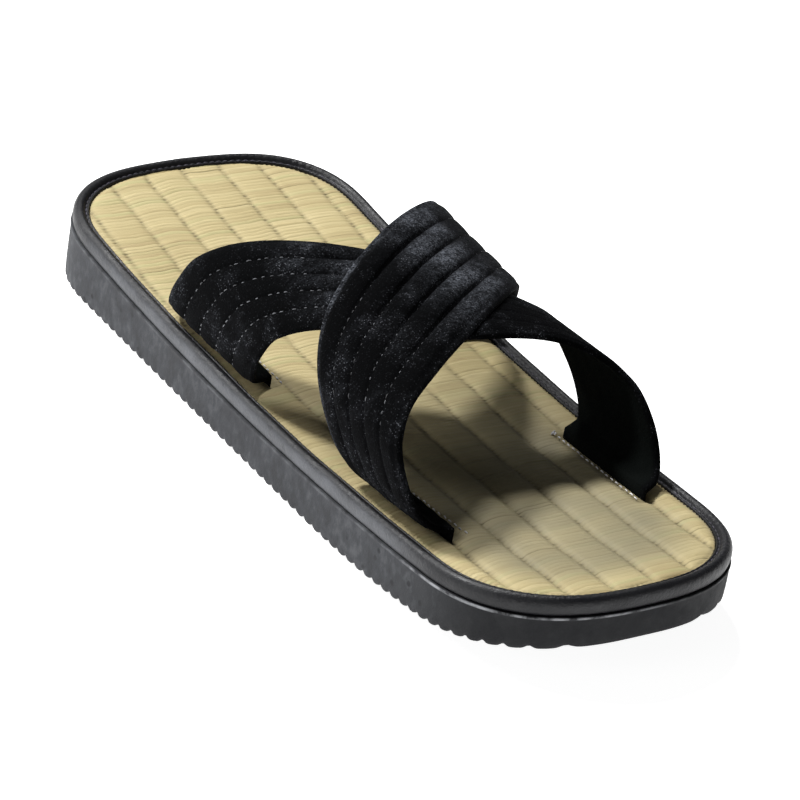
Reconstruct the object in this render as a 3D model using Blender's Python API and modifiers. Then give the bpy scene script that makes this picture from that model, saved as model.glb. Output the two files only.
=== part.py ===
"""A zori sandal: a rubber sole, a rush mat with a binding round it, and two wide straps crossed in an X.

Metres, +Z up, the floor at z = 0, the toe towards -Y, the origin under the middle of the sandal.
"""
import math

import bmesh
import bpy

# The mat: its plan outline, seen from above
MAT_LENGTH = 0.2695
MAT_TOE_HALF = 0.0438
MAT_HEEL_HALF = 0.0482
MAT_SIDE_BOW = 0.0008
TOE_DEPTH = 0.0385
HEEL_DEPTH = 0.0360
TOE_POWER = 2.5
HEEL_POWER = 2.7
MAT_THICK = 0.0045

# The side view: the mat's top over the floor, and how the ends rise
MID_HEIGHT = 0.0182
TOE_LIFT = 0.0085
HEEL_LIFT = 0.0075
TOE_SPRING = 0.0122
SPRING_START = 0.040

# The sole and the binding round the mat
SOLE_MARGIN = 0.00525
BINDING_WIDTH = 0.00475
BINDING_CROWN = 0.0012
EDGE_ROUND = 0.0016
GAP = 0.0003

# The straps
STRAP_WALL = 0.0026
STRAP_JOIN = 0.0006
TOE_HALF_SPAN = 0.0445
HEEL_HALF_SPAN = 0.0500
TOE_ARCH_HEIGHT = 0.0425
HEEL_ARCH_HEIGHT = 0.0495
TOE_LEAN = 0.0135
HEEL_LEAN = 0.0090
TOE_FULLNESS = 0.95
HEEL_FULLNESS = 0.30
TOE_SLIT_X = 0.0350
HEEL_SLIT_X = 0.0385
SLIT_CLEARANCE = 0.0005
NECK_HEIGHT = 0.0012
SWELL_END_POWER = 16

# Places of the straps' edges, as shares of the mat's length from its middle, + towards the heel.
# Columns: at the toe foot, a quarter over, at the crest, three quarters over, at the heel foot.
TOP_STRAP = {
    "heel edge": (-0.200, -0.082, 0.024, 0.124, 0.240),
    "toe edge": (-0.334, -0.277, -0.189, -0.082, 0.060),
}
UNDER_STRAP = {
    "heel edge": (-0.173, -0.097, 0.006, 0.105, 0.219),
    "toe edge": (-0.334, -0.202, -0.172, -0.085, 0.033),
}
# How the under strap's toe leg is drawn out of the plain arch. Columns: out, up, the place along the
# strap's way, and the reach to either side of it.
UNDER_SWELL = {
    "heel edge": (-0.0078, 0.0078, -0.74, 0.17),
    "toe edge": (0.0066, -0.0009, -0.66, 0.25),
}
TOE_FOOT_PLACE = -0.237
HEEL_FOOT_PLACE = 0.137

# The straps' arch, from its crest to a slit. Columns: way along the half arch, share of the half span
# and share of the height where the arch is lean, the same two where it is full, and the tuck to the slit.
ARCH = (
    (0.00, 0.000, 1.000, 0.00, 1.000, 0.00),
    (0.25, 0.360, 0.955, 0.40, 0.985, 0.00),
    (0.50, 0.680, 0.800, 0.78, 0.900, 0.00),
    (0.70, 0.900, 0.560, 1.00, 0.700, 0.00),
    (0.82, 0.985, 0.300, 1.06, 0.430, 0.00),
    (0.90, 1.000, 0.125, 1.04, 0.170, 0.03),
    (0.96, 1.000, 0.030, 1.01, 0.040, 0.32),
    (1.00, 1.000, 0.000, 1.00, 0.000, 1.00),
)

# The sole's side wall, from the floor up. Columns: inset from the widest outline in edge rounds,
# share of the wall's height, and a rise above that share in edge rounds.
SOLE_WALL = (
    (1.00, 0.00, 0.00),
    (0.30, 0.00, 0.30),
    (0.00, 0.00, 1.00),
    (0.00, 0.45, 0.00),
    (0.00, 1.00, -0.60),
    (0.15, 1.00, -0.15),
    (0.60, 1.00, 0.00),
)

# The binding's section, once round. Columns: share of its width from the mat out, and share of its height.
BINDING_SECTION = (
    (0.00, 0.00),
    (0.88, 0.00),
    (0.97, 0.14),
    (1.00, 0.36),
    (0.95, 0.62),
    (0.82, 0.86),
    (0.62, 0.98),
    (0.42, 1.00),
    (0.24, 0.93),
    (0.12, 0.80),
    (0.00, 0.76),
)

END_STEPS = 11
SIDE_STEPS = 26
ARCH_STEPS = 52
ACROSS_STEPS = 6


def clear_scene():
    """Remove what the file already holds."""
    for item in list(bpy.data.objects):
        bpy.data.objects.remove(item, do_unlink=True)
    for group in list(bpy.data.collections):
        bpy.data.collections.remove(group)


def mix(low, high, share):
    """The value a share of the way from low to high."""
    return low + (high - low) * share


def mat_top(y):
    """Height of the mat's top: lowest at mid length, rising as a square to both ends."""
    share = y / (MAT_LENGTH / 2)
    return MID_HEIGHT + (TOE_LIFT if share < 0 else HEEL_LIFT) * share * share


def sole_bottom(y):
    """Height of the underside: flat from the heel to the forefoot, then the toe spring."""
    reach = MAT_LENGTH / 2 + SOLE_MARGIN - SPRING_START
    share = max(-y - SPRING_START, 0.0) / reach
    return TOE_SPRING * share * share


def sole_top(y):
    """Height of the sole's top, a gap under the mat."""
    return mat_top(y) - MAT_THICK - GAP


def half_outline(margin):
    """The +X half of the mat's outline grown by a margin, from toe tip to heel tip, as (x, y) pairs."""
    half_length = MAT_LENGTH / 2 + margin
    toe_depth = TOE_DEPTH + margin
    heel_depth = HEEL_DEPTH + margin
    toe_line = -half_length + toe_depth
    heel_line = half_length - heel_depth

    def side(y):
        share = min(max(y / MAT_LENGTH + 0.5, 0.0), 1.0)
        bow = MAT_SIDE_BOW * 4 * share * (1 - share)
        return mix(MAT_TOE_HALF, MAT_HEEL_HALF, share) + bow + margin

    points = []
    for step in range(END_STEPS):
        angle = math.pi / 2 * (1 - step / END_STEPS)
        y = toe_line - toe_depth * math.sin(angle) ** (2 / TOE_POWER)
        x = 0.0 if step == 0 else side(y) * math.cos(angle) ** (2 / TOE_POWER)
        points.append((x, y))
    for step in range(SIDE_STEPS + 1):
        y = mix(toe_line, heel_line, step / SIDE_STEPS)
        points.append((side(y), y))
    for step in range(1, END_STEPS + 1):
        angle = math.pi / 2 * step / END_STEPS
        y = heel_line + heel_depth * math.sin(angle) ** (2 / HEEL_POWER)
        x = 0.0 if step == END_STEPS else side(y) * math.cos(angle) ** (2 / HEEL_POWER)
        points.append((x, y))
    return points


def add_ring(mesh, margin, height_at):
    """One closed ring of vertices round an outline; height_at gives z from y. Returns them in order."""
    half = half_outline(margin)
    right = [mesh.verts.new((x, y, height_at(y))) for x, y in half]
    left = [mesh.verts.new((-x, y, height_at(y))) for x, y in half[1:-1]]
    return right + left[::-1]


def join_rings(mesh, lower, upper):
    """Faces between two rings, facing out when the upper ring is above or inside the lower one."""
    count = len(lower)
    for index in range(count):
        after = (index + 1) % count
        mesh.faces.new((lower[index], lower[after], upper[after], upper[index]))


def cap_ring(mesh, ring, faces_up):
    """Close a ring with strips across it, so that the cap follows a height that changes along Y."""
    count = len(ring)
    half = count // 2
    for index in range(half):
        corners = [ring[index], ring[index + 1]]
        if index + 1 < half:
            corners.append(ring[(count - index - 1) % count])
        if index > 0:
            corners.append(ring[(count - index) % count])
        mesh.faces.new(corners if faces_up else corners[::-1])


def make_object(name, mesh, group, colour, roughness):
    """Turn a bmesh into a named object with its own material."""
    bmesh.ops.recalc_face_normals(mesh, faces=mesh.faces)
    data = bpy.data.meshes.new(name)
    mesh.to_mesh(data)
    mesh.free()
    item = bpy.data.objects.new(name, data)
    group.objects.link(item)
    material = bpy.data.materials.new(name)
    material.use_nodes = True
    shader = material.node_tree.nodes["Principled BSDF"]
    shader.inputs["Base Color"].default_value = (*colour, 1.0)
    shader.inputs["Roughness"].default_value = roughness
    shader.inputs["Metallic"].default_value = 0.0
    data.materials.append(material)
    return item


def build_outsole(group):
    """The rubber sole: its wall rings stacked between the underside and the flat top."""
    mesh = bmesh.new()
    rings = []
    for inset, share, rise in SOLE_WALL:
        def height(y, share=share, rise=rise):
            return mix(sole_bottom(y), sole_top(y), share) + rise * EDGE_ROUND
        rings.append(add_ring(mesh, SOLE_MARGIN - inset * EDGE_ROUND, height))
    cap_ring(mesh, rings[0], False)
    for lower, upper in zip(rings, rings[1:]):
        join_rings(mesh, lower, upper)
    cap_ring(mesh, rings[-1], True)
    return make_object("outsole", mesh, group, (0.035, 0.036, 0.040), 0.62)


def build_binding(group):
    """The binding: one rounded section carried round the mat."""
    mesh = bmesh.new()
    full_height = MAT_THICK + BINDING_CROWN
    rings = []
    for across, up in BINDING_SECTION:
        def height(y, up=up):
            return mat_top(y) - MAT_THICK + up * full_height
        rings.append(add_ring(mesh, GAP + across * (BINDING_WIDTH - GAP), height))
    for index, ring in enumerate(rings):
        join_rings(mesh, ring, rings[(index + 1) % len(rings)])
    return make_object("binding", mesh, group, (0.012, 0.012, 0.015), 0.40)


def strap_feet():
    """The four slits: side, line of the slit, toe end and heel end."""
    feet = []
    for strap, side in ((TOP_STRAP, 1), (UNDER_STRAP, -1)):
        for end, slit_x in ((0, -side * TOE_SLIT_X), (-1, side * HEEL_SLIT_X)):
            low = strap["toe edge"][end] * MAT_LENGTH
            high = strap["heel edge"][end] * MAT_LENGTH
            feet.append((slit_x, low, high))
    return feet


def build_insole(group, cutters):
    """The mat, one even slab, with a slit cut through it for each end of a strap."""
    mesh = bmesh.new()
    lower = add_ring(mesh, 0.0, lambda y: mat_top(y) - MAT_THICK)
    upper = add_ring(mesh, 0.0, mat_top)
    cap_ring(mesh, lower, False)
    join_rings(mesh, lower, upper)
    cap_ring(mesh, upper, True)
    mat = make_object("insole", mesh, group, (0.62, 0.52, 0.30), 0.75)
    for number, (slit_x, low, high) in enumerate(strap_feet(), 1):
        side = math.copysign(1.0, slit_x)
        width = STRAP_WALL + 2 * SLIT_CLEARANCE
        length = high - low + 2 * SLIT_CLEARANCE
        middle = slit_x - side * STRAP_WALL / 2
        bpy.ops.mesh.primitive_cube_add(size=1.0, location=(middle, (low + high) / 2, mat_top(low)))
        cutter = bpy.context.object
        cutter.name = f"slit_cutter_{number}"
        cutter.scale = (width, length, 4 * MAT_THICK + 2 * abs(mat_top(low) - mat_top(high)))
        for holder in list(cutter.users_collection):
            holder.objects.unlink(cutter)
        cutters.objects.link(cutter)
        cutter.hide_render = True
        cutter.display_type = "WIRE"
        cut = mat.modifiers.new(f"slit_{number}", "BOOLEAN")
        cut.operation = "DIFFERENCE"
        cut.solver = "EXACT"
        cut.object = cutter
    return mat


def smooth_row(rows, way):
    """The columns after the first, at a way down the first column, on a smooth curve through the rows."""
    index = 0
    while index < len(rows) - 2 and way > rows[index + 1][0]:
        index += 1
    before = rows[max(index - 1, 0)]
    start = rows[index]
    end = rows[index + 1]
    beyond = rows[min(index + 2, len(rows) - 1)]
    step = end[0] - start[0]
    share = (way - start[0]) / step
    values = []
    for column in range(1, len(start)):
        slope_in = (end[column] - before[column]) / (end[0] - before[0]) * step
        slope_out = (beyond[column] - start[column]) / (beyond[0] - start[0]) * step
        cube = share ** 3
        square = share ** 2
        values.append((2 * cube - 3 * square + 1) * start[column]
                      + (cube - 2 * square + share) * slope_in
                      + (3 * square - 2 * cube) * end[column]
                      + (cube - square) * slope_out)
    return values


def arch_shape(way):
    """The ARCH table at a way from -1 to 1: spans are odd about the crest, heights and tuck even."""
    left = [(-row[0], -row[1], row[2], -row[3], row[4], row[5]) for row in ARCH[:0:-1]]
    return smooth_row(left + list(ARCH), way)


def edge_place(places, way):
    """Where a strap's edge is along Y, at a way from its toe foot (-1) to its heel foot (1)."""
    rows = [(-1 + index / 2, place) for index, place in enumerate(places)]
    return smooth_row(rows, way)[0] * MAT_LENGTH


def swell_at(way, across):
    """How far the under strap is moved out and up: a bell along its way, brought to nothing at the slits."""
    rows = zip(UNDER_SWELL["heel edge"], UNDER_SWELL["toe edge"])
    out, up, place, reach = (mix(low, high, across) for low, high in rows)
    share = math.exp(-((way - place) / reach) ** 2) * (1 - way ** SWELL_END_POWER)
    return out * share, up * share


def strap_point(strap, side, way, across, lift):
    """A point of a strap's outer face; across is 0 at its heel edge and 1 at its toe edge."""
    y = mix(edge_place(strap["heel edge"], way), edge_place(strap["toe edge"], way), across)
    toe_foot = TOE_FOOT_PLACE * MAT_LENGTH
    heel_foot = HEEL_FOOT_PLACE * MAT_LENGTH
    share = min(max((y - toe_foot) / (heel_foot - toe_foot), -0.4), 1.3)
    half_span = mix(TOE_HALF_SPAN, HEEL_HALF_SPAN, share)
    height = mix(TOE_ARCH_HEIGHT, HEEL_ARCH_HEIGHT, share) + lift
    fullness = mix(TOE_FULLNESS, HEEL_FULLNESS, share)
    lean_out, lean_up, full_out, full_up, tuck = arch_shape(way)
    out = mix(lean_out, full_out, fullness) * half_span
    up = mix(lean_up, full_up, fullness)
    slit = math.copysign(TOE_SLIT_X if way < 0 else HEEL_SLIT_X, way)
    x = side * mix(out, slit, tuck) - mix(TOE_LEAN, HEEL_LEAN, share) * up
    z = mat_top(y) + NECK_HEIGHT + (height - NECK_HEIGHT) * up
    if side < 0:
        swell_out, swell_up = swell_at(way, across)
        x += swell_out
        z += swell_up
    return x, y, z


def build_strap(name, strap, side, lift, group):
    """One strap: an open sheet over the arch, with a tab at each end, thickened inwards."""
    mesh = bmesh.new()
    columns = []
    for step in range(-1, ARCH_STEPS + 2):
        way = min(max(-1 + 2 * step / ARCH_STEPS, -1.0), 1.0)
        is_tab = step < 0 or step > ARCH_STEPS
        column = []
        for part in range(ACROSS_STEPS + 1):
            x, y, z = strap_point(strap, side, way, part / ACROSS_STEPS, lift)
            if is_tab:
                z = mat_top(y) - MAT_THICK
            column.append(mesh.verts.new((x, y, z)))
        columns.append(column)
    for first, second in zip(columns, columns[1:]):
        for part in range(ACROSS_STEPS):
            corners = (first[part], first[part + 1], second[part + 1], second[part])
            mesh.faces.new(corners)
    item = make_object(name, mesh, group, (0.010, 0.010, 0.012), 0.85)
    middle = item.data.polygons[len(item.data.polygons) // 2]
    wall = item.modifiers.new("wall", "SOLIDIFY")
    wall.thickness = STRAP_WALL
    wall.offset = -1.0 if middle.normal.z > 0 else 1.0
    wall.use_even_offset = True
    wall.use_quality_normals = True
    return item


def build_upper(group, cutters):
    """The upper: the two straps, one over the other, joined where they cross."""
    under = build_strap("under_strap", UNDER_STRAP, -1, 0.0, cutters)
    under.hide_render = True
    under.display_type = "WIRE"
    upper = build_strap("strap_upper", TOP_STRAP, 1, STRAP_WALL - STRAP_JOIN, group)
    join = upper.modifiers.new("join", "BOOLEAN")
    join.operation = "UNION"
    join.solver = "EXACT"
    join.object = under
    return upper


def main():
    """Build the four pieces."""
    clear_scene()
    parts = bpy.data.collections.new("zori_sandal")
    cutters = bpy.data.collections.new("cutters")
    for group in (parts, cutters):
        bpy.context.scene.collection.children.link(group)
    build_outsole(parts)
    build_insole(parts, cutters)
    build_binding(parts)
    build_upper(parts, cutters)


main()
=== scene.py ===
import math

import bpy
import numpy as np
from mathutils import Matrix, Vector


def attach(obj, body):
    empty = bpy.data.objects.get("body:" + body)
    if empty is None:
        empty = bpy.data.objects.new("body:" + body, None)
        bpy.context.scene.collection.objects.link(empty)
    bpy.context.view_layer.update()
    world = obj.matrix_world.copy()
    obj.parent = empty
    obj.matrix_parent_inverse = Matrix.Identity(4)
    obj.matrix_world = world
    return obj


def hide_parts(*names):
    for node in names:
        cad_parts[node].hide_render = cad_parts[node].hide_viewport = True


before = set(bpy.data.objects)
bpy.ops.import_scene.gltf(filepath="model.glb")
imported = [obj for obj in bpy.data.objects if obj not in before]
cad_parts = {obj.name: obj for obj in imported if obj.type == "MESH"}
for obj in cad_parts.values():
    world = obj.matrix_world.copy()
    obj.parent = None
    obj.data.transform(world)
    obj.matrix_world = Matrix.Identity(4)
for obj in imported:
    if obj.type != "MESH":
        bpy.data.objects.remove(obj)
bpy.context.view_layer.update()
print("frame loaded:", ", ".join(sorted(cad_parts)))

# The sandal's own sizes, in metres. The toe points to -Y and the floor is z = 0.
matSize = {
    "length": 0.2695,
    "toeHalf": 0.0438,        # half width where the toe end begins
    "heelHalf": 0.0482,
    "sideBow": 0.0008,
    "toeDepth": 0.0385,       # how far the rounded ends reach
    "heelDepth": 0.0360,
    "toePower": 2.5,
    "heelPower": 2.7,
    "thick": 0.0045,
    "midHeight": 0.0182,      # the mat's top at mid length
    "toeLift": 0.0085,
    "heelLift": 0.0075,
    "warpPitch": 0.01425,     # between the lines where warp cords bind the rushes
}
soleSize = {
    "margin": 0.00525,        # how far the sole stands out past the mat
    "toeSpring": 0.0122,
    "springStart": 0.040,
    "gap": 0.0003,
}


def mix(low, high, share):
    # low plus the given share of the way to high
    return low + (high - low) * share


def softStep(low, high, value):
    # 0 below low, 1 above high, and a smooth S between them
    share = np.clip((value - low) / (high - low), 0.0, 1.0)
    return share * share * (3.0 - 2.0 * share)


def bell(value, reach):
    # 1 at zero, falling off as a bell whose half width is about the reach
    return np.exp(-(value / reach) ** 2)


def matTop(y):
    # the mat's lowest height plus a lift that grows as the square of y to each end
    share = y / (matSize["length"] / 2)
    return matSize["midHeight"] + np.where(share < 0, matSize["toeLift"], matSize["heelLift"]) * share ** 2


def soleBottom(y):
    # flat from the heel to the forefoot, then rising as a square to the toe
    reach = matSize["length"] / 2 + soleSize["margin"] - soleSize["springStart"]
    return soleSize["toeSpring"] * (np.maximum(-y - soleSize["springStart"], 0.0) / reach) ** 2


def outlineAt(margin, along):
    # the +X half of the mat's outline grown by a margin: along is 0 to 1 round the toe, 1 to 2 down the
    # side and 2 to 3 round the heel, and each end is a superellipse of the side's half width
    halfLength = matSize["length"] / 2 + margin
    toeDepth = matSize["toeDepth"] + margin
    heelDepth = matSize["heelDepth"] + margin
    toeLine = toeDepth - halfLength
    heelLine = halfLength - heelDepth
    toeAngle = math.pi / 2 * (1.0 - np.clip(along, 0.0, 1.0))
    heelAngle = math.pi / 2 * np.clip(along - 2.0, 0.0, 1.0)
    toePower = 2 / matSize["toePower"]
    heelPower = 2 / matSize["heelPower"]
    y = toeLine - toeDepth * np.sin(toeAngle) ** toePower
    y = y + (heelLine - toeLine) * np.clip(along - 1.0, 0.0, 1.0) + heelDepth * np.sin(heelAngle) ** heelPower
    share = np.clip(y / matSize["length"] + 0.5, 0.0, 1.0)
    side = mix(matSize["toeHalf"], matSize["heelHalf"], share) + margin
    side = side + 4 * matSize["sideBow"] * share * (1.0 - share)
    x = side * np.abs(np.cos(toeAngle)) ** toePower * np.abs(np.cos(heelAngle)) ** heelPower
    x = np.where((along <= 0) | (along >= 3), 0.0, x)
    return x, y


fineAlong = np.linspace(0.0, 3.0, 9001)


def evenSplit(points, values, spacing):
    # the values at even lengths along a line of points, and the length run at each
    run = np.concatenate([[0.0], np.cumsum(np.linalg.norm(np.diff(points, axis=0), axis=1))])
    count = int(round(run[-1] / spacing))
    places = np.linspace(0.0, run[-1], count + 1)
    return np.interp(places, run, values), places


def evenStations(margin, spacing):
    # values of along that split the half outline into equal lengths, and the length run at each
    return evenSplit(np.stack(outlineAt(margin, fineAlong), axis=-1), fineAlong, spacing)


def roundTheOutline(margin, along):
    # the closed outline: up the +X half from the toe tip, and back down the mirrored half
    x, y = outlineAt(margin, along)
    return np.concatenate([x, -x[-2:0:-1]]), np.concatenate([y, y[-2:0:-1]])


def halfWidthAt(y):
    # the mat's half width at each y, read off the outline
    x, places = outlineAt(0.0, fineAlong)
    return np.interp(y, places, x)


def sumOfWaves(table, place):
    # sines added up. Columns: rise, length over one radian, and start in radians
    return sum(rise * np.sin(place / length + start) for rise, length, start in table)


def gridFaces(rows, columns, closeRows=False, closeColumns=False, start=0):
    # the corner numbers of the quads of a grid, closed on itself where asked
    index = np.arange(rows * columns).reshape(rows, columns) + start
    if closeRows:
        index = np.concatenate([index, index[:1]])
    if closeColumns:
        index = np.concatenate([index, index[:, :1]], axis=1)
    quads = np.stack([index[:-1, :-1], index[:-1, 1:], index[1:, 1:], index[1:, :-1]], axis=-1)
    return quads.reshape(-1, 4)


def endFaces(rows, columns):
    # the two many-sided faces that close a grid of rings at its first and last ring
    return [list(range(columns))[::-1], list(range((rows - 1) * columns, rows * columns))]


def addToScene(name, data):
    item = bpy.data.objects.new(name, data)
    bpy.context.scene.collection.objects.link(item)
    return item


def makePiece(name, points, faces, material, values, extraFaces=()):
    # one smooth mesh object at the origin; the faces are turned outwards by the sign of the volume
    points = np.asarray(points, dtype=float).reshape(-1, 3)
    a, b, c, d = (points[faces[:, corner]] for corner in range(4))
    volume = np.einsum("ij,ij->i", a, np.cross(b, c)).sum() + np.einsum("ij,ij->i", a, np.cross(c, d)).sum()
    faces = faces.tolist() + list(extraFaces)
    if volume < 0:
        faces = [face[::-1] for face in faces]
    mesh = bpy.data.meshes.new(name)
    mesh.from_pydata(points.tolist(), [], faces)
    mesh.polygons.foreach_set("use_smooth", [True] * len(mesh.polygons))
    for key, array in values.items():
        layer = mesh.attributes.new(key, "FLOAT", "POINT")
        layer.data.foreach_set("value", np.asarray(array, dtype=np.float32).ravel())
    mesh.materials.append(material)
    mesh.update()
    print(name, len(mesh.vertices), "points", len(mesh.polygons), "faces")
    return addToScene(name, mesh)


def unit(vectors):
    return vectors / np.maximum(np.linalg.norm(vectors, axis=-1, keepdims=True), 1e-12)


def upFrom(forward):
    # square to each forward direction, and as near to straight up as that allows
    return unit(np.cross(forward, np.cross([0.0, 0.0, 1.0], forward)))


def makeThreads(name, detail, material, centre, lengthwise, upwards, tone, lengths=1.0):
    # many short threads in one mesh: each is a spindle of five rings of six points, thick in the middle,
    # and bowed so that its ends go down into the cloth. Lengths are shares of the length in the settings
    count = len(centre)
    along = np.array([-1.0, -0.72, 0.0, 0.72, 1.0])[:, None, None]
    thick = np.array([0.25, 0.85, 1.0, 0.85, 0.25])[:, None, None]
    turn = (np.arange(6) * math.pi / 3)[:, None]
    half = np.broadcast_to(detail["length"] * lengths, (count,))[:, None, None, None] / 2
    side = unit(np.cross(lengthwise, upwards))[:, None, None]
    centre = centre[:, None, None]
    lengthwise = lengthwise[:, None, None]
    upwards = upwards[:, None, None]
    ring = np.cos(turn) * side + np.sin(turn) * upwards
    points = centre + half * (along * lengthwise - detail["bow"] * along ** 2 * upwards)
    points = points + detail["radius"] * thick * ring
    firstPoints = 30 * np.arange(count)[:, None, None]
    cap = np.array([[0, 1, 2, 3], [0, 3, 4, 5]])
    caps = np.concatenate([cap[:, ::-1], cap + 24])
    faces = [(part + firstPoints).reshape(-1, 4) for part in (gridFaces(5, 6, closeColumns=True), caps)]
    return makePiece(name, points, np.concatenate(faces), material, {"tone": np.repeat(tone, 30)})


# Materials. Each function lays the nodes of one finish.

def startMaterial(name):
    material = bpy.data.materials.new(name)
    material.use_nodes = True
    tree = material.node_tree
    return material, tree, tree.nodes["Principled BSDF"]


def feed(tree, node, inputs):
    # each input is linked where a socket is given, and set where a value is
    for key, value in inputs.items():
        if isinstance(value, bpy.types.NodeSocket):
            tree.links.new(value, node.inputs[key])
        else:
            node.inputs[key].default_value = value


def addNode(tree, kind, inputs=None, **settings):
    node = tree.nodes.new("ShaderNode" + kind)
    for key, value in settings.items():
        setattr(node, key, value)
    feed(tree, node, inputs or {})
    return node


def objectPlace(tree, scale=(1.0, 1.0, 1.0)):
    # Object coordinates stretched by a scale for each axis
    place = addNode(tree, "TexCoord").outputs["Object"]
    return addNode(tree, "Mapping", {"Vector": place, "Scale": scale}).outputs["Vector"]


def noiseOn(tree, place, scale, detail=3.0, roughness=0.55):
    inputs = {"Vector": place, "Scale": scale, "Detail": detail, "Roughness": roughness}
    return addNode(tree, "TexNoise", inputs).outputs["Fac"]


def remap(tree, value, low, high, newLow=0.0, newHigh=1.0):
    inputs = {"Value": value, "From Min": low, "From Max": high, "To Min": newLow, "To Max": newHigh}
    return addNode(tree, "MapRange", inputs).outputs["Result"]


def blendColour(tree, share, first, second):
    # the first colour where the share is 0 and the second where it is 1
    node = addNode(tree, "Mix", data_type="RGBA")
    inputs = {item.identifier: item for item in node.inputs}
    tree.links.new(share, inputs["Factor_Float"])
    for socket, colour in ((inputs["A_Color"], first), (inputs["B_Color"], second)):
        if isinstance(colour, bpy.types.NodeSocket):
            tree.links.new(colour, socket)
        else:
            socket.default_value = (*colour, 1.0)
    return next(item for item in node.outputs if item.identifier == "Result_Color")


def attribute(tree, name):
    return addNode(tree, "Attribute", attribute_name=name).outputs["Fac"]


def calculate(tree, how, first, second):
    return addNode(tree, "Math", {0: first, 1: second}, operation=how).outputs["Value"]


def times(tree, first, second):
    return calculate(tree, "MULTIPLY", first, second)


def cellsOn(tree, place, scale):
    # scattered cells: the distance to each one's middle, and a random number for each
    cells = addNode(tree, "TexVoronoi", {"Vector": place, "Scale": scale})
    pick = addNode(tree, "SeparateColor", {"Color": cells.outputs["Color"]})
    return cells.outputs["Distance"], pick.outputs["Red"]


def bumpFrom(tree, height, distance, strength=1.0, before=None):
    inputs = {"Height": height, "Distance": distance, "Strength": strength}
    if before is not None:
        inputs["Normal"] = before
    return addNode(tree, "Bump", inputs).outputs["Normal"]


rushLook = {
    "pale": (0.520, 0.435, 0.232),
    "straw": (0.450, 0.370, 0.186),
    "brown": (0.365, 0.285, 0.140),
    "green": (0.405, 0.380, 0.180),
    "forefootShade": (0.225, 0.200, 0.122),   # painted shade: darker and greyer under the ball of the foot
    "hollowShade": (0.105, 0.085, 0.038),    # painted shade deep between the rushes, where a warp cord binds them and round the slits
    "roughness": (0.50, 0.72),
}


def chance(tree, first, second, seed):
    # a random number for each pair of whole numbers
    place = addNode(tree, "CombineXYZ", {"X": first, "Y": second, "Z": seed}).outputs["Vector"]
    return addNode(tree, "TexWhiteNoise", {"Vector": place}, noise_dimensions="3D").outputs["Value"]


def rushMaterial():
    material, tree, shader = startMaterial("rushMat")

    def maths(how, first, second=0.0):
        return calculate(tree, how, first, second)

    rush = attribute(tree, "rushPlace")
    warp = attribute(tree, "warpPlace")
    rushNumber = maths("FLOOR", rush)
    gapNumber = maths("ROUND", rush)
    columnNumber = maths("FLOOR", warp)
    cordNumber = maths("ROUND", warp)
    # 0 in the middle of a rush and 1 at its edge; metres from the nearest warp cord
    edge = maths("ABSOLUTE", maths("SUBTRACT", times(tree, maths("FRACT", rush), 2.0), 1.0))
    fromCord = maths("ABSOLUTE", maths("SUBTRACT", warp, cordNumber))
    fromCord = times(tree, fromCord, matSize["warpPitch"])

    fibre = noiseOn(tree, objectPlace(tree, (70.0, 3400.0, 900.0)), 1.0, 4.0, 0.62)
    patch = noiseOn(tree, objectPlace(tree, (30.0, 55.0, 30.0)), 1.0, 2.0)
    single = remap(tree, chance(tree, rushNumber, columnNumber, 1.0), 0.0, 1.0, 0.22, 0.86)
    tone = maths("ADD", single, remap(tree, fibre, 0.3, 0.7, -0.26, 0.26))
    tone = maths("ADD", tone, remap(tree, patch, 0.3, 0.7, -0.20, 0.20))
    colour = blendColour(tree, remap(tree, tone, -0.1, 0.5), rushLook["brown"], rushLook["straw"])
    colour = blendColour(tree, remap(tree, tone, 0.45, 1.10), colour, rushLook["pale"])
    greenish = remap(tree, chance(tree, rushNumber, columnNumber, 4.0), 0.72, 1.0, 0.0, 0.65)
    colour = blendColour(tree, greenish, colour, rushLook["green"])

    # painted shade under the forefoot, mottled by the patches
    paintedShading = times(tree, attribute(tree, "paintedShading"), remap(tree, patch, 0.3, 0.7, 0.62, 0.95))
    colour = blendColour(tree, paintedShading, colour, rushLook["forefootShade"])

    # painted shade: a faint line at every rush, a deep one here and there in one column, and ticks and a
    # faint band on the cords
    gap = remap(tree, chance(tree, gapNumber, columnNumber, 2.0), 0.86, 1.0, 0.06, 0.75)
    line = times(tree, maths("POWER", edge, 7.0), gap)
    tickHere = remap(tree, chance(tree, gapNumber, cordNumber, 3.0), 0.25, 0.95, 0.05, 1.0)
    tick = times(tree, remap(tree, fromCord, 0.0011, 0.0002), tickHere)
    tick = times(tree, tick, remap(tree, edge, 0.15, 0.85, 0.25, 1.0))
    cord = remap(tree, fromCord, 0.0017, 0.0002, 0.0, 0.20)
    hollowShade = maths("ADD", maths("ADD", times(tree, line, 0.75), times(tree, tick, 0.52)), cord)
    # and painted shade round the slits
    hollowShade = maths("MINIMUM", maths("ADD", hollowShade, attribute(tree, "hollowShade")), 1.0)
    colour = blendColour(tree, hollowShade, colour, rushLook["hollowShade"])

    # fibres on each rush, rounded off at its edges and cut by the lines and ticks
    rounded = times(tree, maths("POWER", edge, 3.0), 0.16)
    cut = maths("ADD", times(tree, line, 0.9), times(tree, tick, 0.7))
    relief = maths("SUBTRACT", maths("SUBTRACT", times(tree, fibre, 0.55), rounded), cut)
    feed(tree, shader, {
        "Base Color": colour,
        "Roughness": remap(tree, fibre, 0.3, 0.7, *rushLook["roughness"]),
        "Normal": bumpFrom(tree, relief, 0.00028, 0.7),
        "Specular IOR Level": 0.30,
        "Sheen Weight": 0.08,
    })
    return material


velvetLook = {
    "nap": (0.0010, 0.0011, 0.0013),
    "lining": (0.0030, 0.0038, 0.0034),
    "paintedSheen": (0.128, 0.138, 0.160),   # painted sheen where the crest and the edges catch the light
    "lint": (0.165, 0.173, 0.195),
    "sheen": 0.006,
}


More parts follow.
